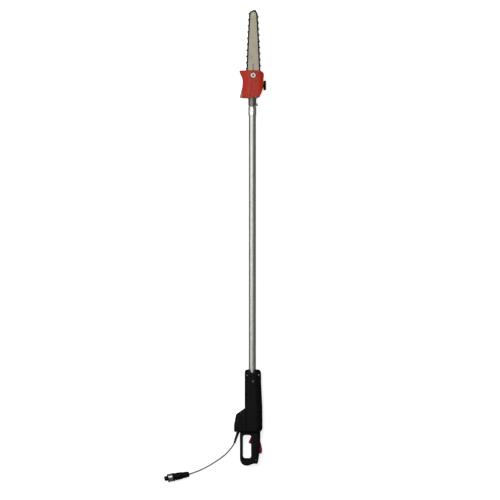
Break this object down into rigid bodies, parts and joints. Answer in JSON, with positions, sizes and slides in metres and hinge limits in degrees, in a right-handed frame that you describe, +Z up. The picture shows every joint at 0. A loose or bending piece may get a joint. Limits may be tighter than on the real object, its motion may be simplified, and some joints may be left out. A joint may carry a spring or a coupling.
{
  "type": "telescoping pole saw",
  "caption": "Electric pole saw with a telescoping aluminium pole, a motor handle with a hand loop and supply cord, and a short guide bar with saw chain.",
  "frame": {"origin": "centre of the tool's footprint, without the cord, on the floor it lies on", "axes": "+Y along the pole towards the saw's tip, +X towards the oil cap and the lock lever, +Z up from the floor through the bar cover"},
  "size_m": [0.4239, 1.9619, 0.0734],
  "materials": {
    "black_plastic": "moulded, fine texture",
    "red_plastic": "glossy moulded",
    "crimson_plastic": "satin moulded",
    "tube_aluminium": "satin anodised",
    "cast_alloy": "cast, dark grey coating",
    "bar_steel": "ground steel",
    "chain_steel": "oiled dark steel",
    "bright_steel": "zinc-plated",
    "machined_steel": "machined",
    "dark_steel": "black oxide",
    "magnet": "ferrite",
    "copper": "copper",
    "brass": "brass",
    "bearing_plastic": "acetal",
    "circuit_board": "lacquered board",
    "rubber": "moulded",
    "cord_grey": "grey sheath"
  },
  "bodies": {
    "handle": {"housing_lower_shell": "black_plastic", "housing_upper_shell": "black_plastic", "housing_screws": "bright_steel", "outer_tube": "tube_aluminium", "tube_socket": "black_plastic", "motor_can": "machined_steel", "motor_magnets": "magnet", "motor_end_bell": "black_plastic", "motor_brushes": "brass", "motor_bearings": "machined_steel", "motor_mount_rings": "rubber", "lever_pins": "machined_steel", "lever_springs": "bright_steel", "trigger_switch": "dark_steel", "control_board": "circuit_board", "board_parts": "dark_steel", "collet": "bearing_plastic", "cord": "cord_grey", "strain_relief": "rubber", "plug_body": "black_plastic", "plug_insert": "black_plastic"},
    "motor_rotor": {"motor_shaft": "machined_steel", "armature": "copper", "commutator": "copper", "shaft_coupler": "machined_steel", "lower_drive_shaft": "machined_steel", "shaft_bush": "bearing_plastic"},
    "trigger": {"trigger": "crimson_plastic"},
    "switch_plunger": {"switch_plunger": "bearing_plastic"},
    "lock_lever": {"lock_lever": "crimson_plastic"},
    "lock_collar": {"lock_collar": "tube_aluminium"},
    "sliding_pole": {"inner_tube": "tube_aluminium", "tube_guide": "bearing_plastic", "gearcase": "cast_alloy", "gearcase_cover": "cast_alloy", "head_screws": "bright_steel", "guide_bar_plates": "bar_steel", "guide_bar_core": "bar_steel", "bar_rivets": "bright_steel", "chain_drive_links": "chain_steel", "chain_tie_straps": "chain_steel", "chain_cutters": "chain_steel", "chain_rivets": "chain_steel", "bar_stud": "dark_steel", "bar_nut": "bright_steel", "bar_cover": "red_plastic", "tension_screw": "bright_steel", "tension_peg": "machined_steel", "oil_tank": "red_plastic", "oil_pump": "machined_steel", "head_bearings": "machined_steel"},
    "upper_shaft": {"upper_drive_shaft": "machined_steel", "bevel_pinion": "machined_steel"},
    "sprocket": {"sprocket_shaft": "machined_steel", "bevel_gear": "machined_steel", "drive_sprocket": "dark_steel"},
    "nose_sprocket": {"nose_sprocket": "dark_steel"},
    "oil_cap": {"oil_cap": "black_plastic"},
    "plug_ring": {"plug_ring": "bright_steel"}
  },
  "joints": [
    {"name": "pole_slide", "type": "slide", "parent": "handle", "child": "sliding_pole", "axis": [0, 1, 0], "range_m": [0, 0.7]},
    {"name": "motor_spin", "type": "hinge", "parent": "handle", "child": "motor_rotor", "pos_m": [0.0094, -0.7, 0.036], "axis": [0, 1, 0], "continuous": true},
    {"name": "drive_shaft_spin", "type": "hinge", "parent": "sliding_pole", "child": "upper_shaft", "pos_m": [0.0094, 0.56, 0.036], "axis": [0, 1, 0], "continuous": true},
    {"name": "sprocket_spin", "type": "hinge", "parent": "sliding_pole", "child": "sprocket", "pos_m": [0.0094, 0.622, 0.036], "axis": [0, 0, 1], "continuous": true},
    {"name": "nose_sprocket_spin", "type": "hinge", "parent": "sliding_pole", "child": "nose_sprocket", "pos_m": [0.0139, 0.92585, 0.054], "axis": [0, 0, 1], "continuous": true},
    {"name": "trigger_pull", "type": "hinge", "parent": "handle", "child": "trigger", "pos_m": [0.0134, -0.816, 0.036], "axis": [0, 0, 1], "range_deg": [0, 13], "stiffness_Nm_per_rad": 0.5, "springref_deg": -17.19},
    {"name": "switch_press", "type": "slide", "parent": "handle", "child": "switch_plunger", "axis": [1, 0, 0], "range_m": [0, 0.0042]},
    {"name": "lock_press", "type": "hinge", "parent": "handle", "child": "lock_lever", "pos_m": [0.0344, -0.836, 0.036], "axis": [0, 0, -1], "range_deg": [0, 8], "stiffness_Nm_per_rad": 0.5, "springref_deg": -17.19},
    {"name": "collar_twist", "type": "hinge", "parent": "handle", "child": "lock_collar", "pos_m": [0.0094, 0.526, 0.036], "axis": [0, 1, 0], "range_deg": [0, 90]},
    {"name": "cap_unscrew", "type": "slide", "parent": "sliding_pole", "child": "oil_cap", "axis": [1, 0, 0], "range_m": [0, 0.03]},
    {"name": "plug_ring_twist", "type": "hinge", "parent": "handle", "child": "plug_ring", "pos_m": [-0.32712, -0.99545, 0.01852], "axis": [-0.9806, -0.1848, 0.066], "range_deg": [0, 60]}
  ],
  "couplings": [
    {"joint": "drive_shaft_spin", "follows": "motor_spin", "ratio": 1},
    {"joint": "sprocket_spin", "follows": "motor_spin", "ratio": -0.66667},
    {"joint": "nose_sprocket_spin", "follows": "motor_spin", "ratio": -0.85714},
    {"joint": "switch_press", "follows": "trigger_pull", "m_per_rad": 0.018}
  ]
}
